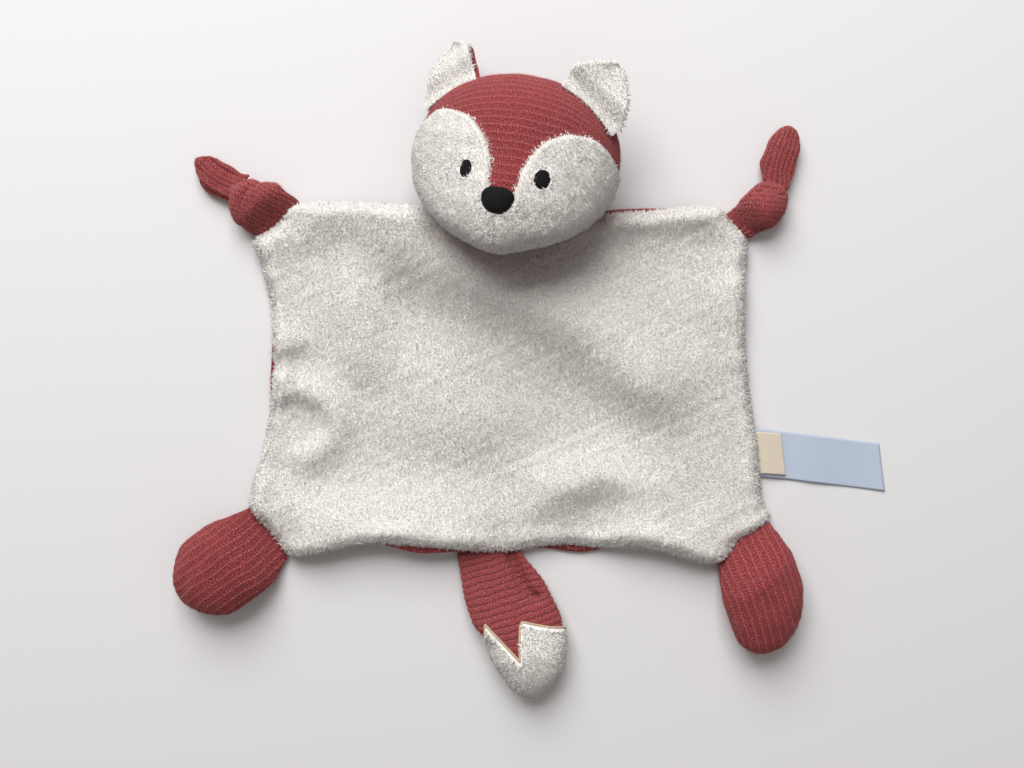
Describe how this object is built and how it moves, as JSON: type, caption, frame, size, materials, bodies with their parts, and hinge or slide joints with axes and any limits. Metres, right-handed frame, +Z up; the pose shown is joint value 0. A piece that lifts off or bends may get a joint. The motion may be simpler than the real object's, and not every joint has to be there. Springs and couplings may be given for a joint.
{
  "type": "comfort blanket",
  "caption": "Flat plush comfort blanket with a stuffed fox head, knotted arms, stuffed feet and a tail, lying face up, for a baby to hold.",
  "frame": {"origin": "on the surface that the blanket lies on, under the middle of the blanket", "axes": "+X to the viewer's right across the blanket, +Y towards the head, +Z up out of the blanket's front"},
  "size_m": [0.3538, 0.3176, 0.0635],
  "materials": {
    "plush": "cream short-pile plush",
    "knit": "terracotta rib knit",
    "filling": "polyester fibre filling",
    "stitch": "black satin stitch",
    "trim": "tan felt edge",
    "satin": "white satin ribbon",
    "tape": "cream woven tape"
  },
  "bodies": {
    "blanket_upper": {"blanket_front_upper": "plush", "blanket_back_upper": "knit"},
    "blanket_lower": {"blanket_front_lower": "plush", "blanket_back_lower": "knit"},
    "head": {"head_back": "knit", "forehead": "knit", "cheek_left": "plush", "cheek_right": "plush", "nose": "stitch", "eye_left": "stitch", "eye_right": "stitch", "head_filling": "filling"},
    "ear_left": {"ear_left_front": "plush", "ear_left_back": "knit"},
    "ear_right": {"ear_right_front": "plush", "ear_right_back": "knit"},
    "arm_left": {"arm_left_knot": "knit"},
    "hand_left": {"arm_left_tip": "knit"},
    "arm_right": {"arm_right_knot": "knit"},
    "hand_right": {"arm_right_tip": "knit"},
    "foot_left": {"foot_left_skin": "knit", "foot_left_filling": "filling"},
    "foot_right": {"foot_right_skin": "knit", "foot_right_filling": "filling"},
    "tail": {"tail_sleeve": "knit", "tail_trim": "trim", "tail_tip": "plush", "tail_filling": "filling"},
    "care_label": {"care_label": "satin"},
    "small_label": {"small_label": "tape"}
  },
  "joints": [
    {"name": "blanket_fold", "type": "hinge", "parent": "blanket_upper", "child": "blanket_lower", "pos_m": [0, -0.008, 0.0065], "axis": [-1, 0, 0], "range_deg": [0, 125]},
    {"name": "head_nod", "type": "hinge", "parent": "blanket_upper", "child": "head", "pos_m": [0.002, 0.08804, 0.0019], "axis": [1, 0, 0], "range_deg": [-100, 25]},
    {"name": "ear_left_fold", "type": "hinge", "parent": "head", "child": "ear_left", "pos_m": [-0.02957, 0.14189, 0.02284], "axis": [0.8665, 0.4861, 0.1138], "range_deg": [-20, 60]},
    {"name": "ear_right_fold", "type": "hinge", "parent": "head", "child": "ear_right", "pos_m": [0.03732, 0.13079, 0.03948], "axis": [0.6864, -0.718, 0.1153], "range_deg": [-25, 60]},
    {"name": "arm_left_swing", "type": "hinge", "parent": "blanket_upper", "child": "arm_left", "pos_m": [-0.11763, 0.08118, 0.0019], "axis": [0.7213, 0.6926, 0], "range_deg": [-100, 70]},
    {"name": "hand_left_flop", "type": "hinge", "parent": "arm_left", "child": "hand_left", "pos_m": [-0.14093, 0.09648, 0.0068], "axis": [0.6293, 0.7771, 0], "range_deg": [-60, 50]},
    {"name": "arm_right_swing", "type": "hinge", "parent": "blanket_upper", "child": "arm_right", "pos_m": [0.11269, 0.08062, 0.0019], "axis": [0.5581, -0.8298, 0], "range_deg": [-100, 70]},
    {"name": "hand_right_flop", "type": "hinge", "parent": "arm_right", "child": "hand_right", "pos_m": [0.13072, 0.10146, 0.0068], "axis": [0.9511, -0.309, 0], "range_deg": [-60, 50]},
    {"name": "foot_left_fold", "type": "hinge", "parent": "blanket_lower", "child": "foot_left", "pos_m": [-0.12039, -0.07676, 0.0019], "axis": [0.5605, -0.8282, 0], "range_deg": [-70, 100]},
    {"name": "foot_right_fold", "type": "hinge", "parent": "blanket_lower", "child": "foot_right", "pos_m": [0.11406, -0.07626, 0.0019], "axis": [0.7849, 0.6196, 0], "range_deg": [-70, 100]},
    {"name": "tail_fold", "type": "hinge", "parent": "blanket_lower", "child": "tail", "pos_m": [-0.007, -0.0859, 0.0019], "axis": [1, 0, 0], "range_deg": [-80, 100]},
    {"name": "care_label_fold", "type": "hinge", "parent": "blanket_lower", "child": "care_label", "pos_m": [0.1225, -0.03393, 0.0019], "axis": [0.1146, -0.9934, 0], "range_deg": [-90, 75]},
    {"name": "small_label_fold", "type": "hinge", "parent": "care_label", "child": "small_label", "pos_m": [0.12445, -0.03421, 0.003], "axis": [-0.1152, 0.9933, 0], "range_deg": [-90, 0]}
  ]
}
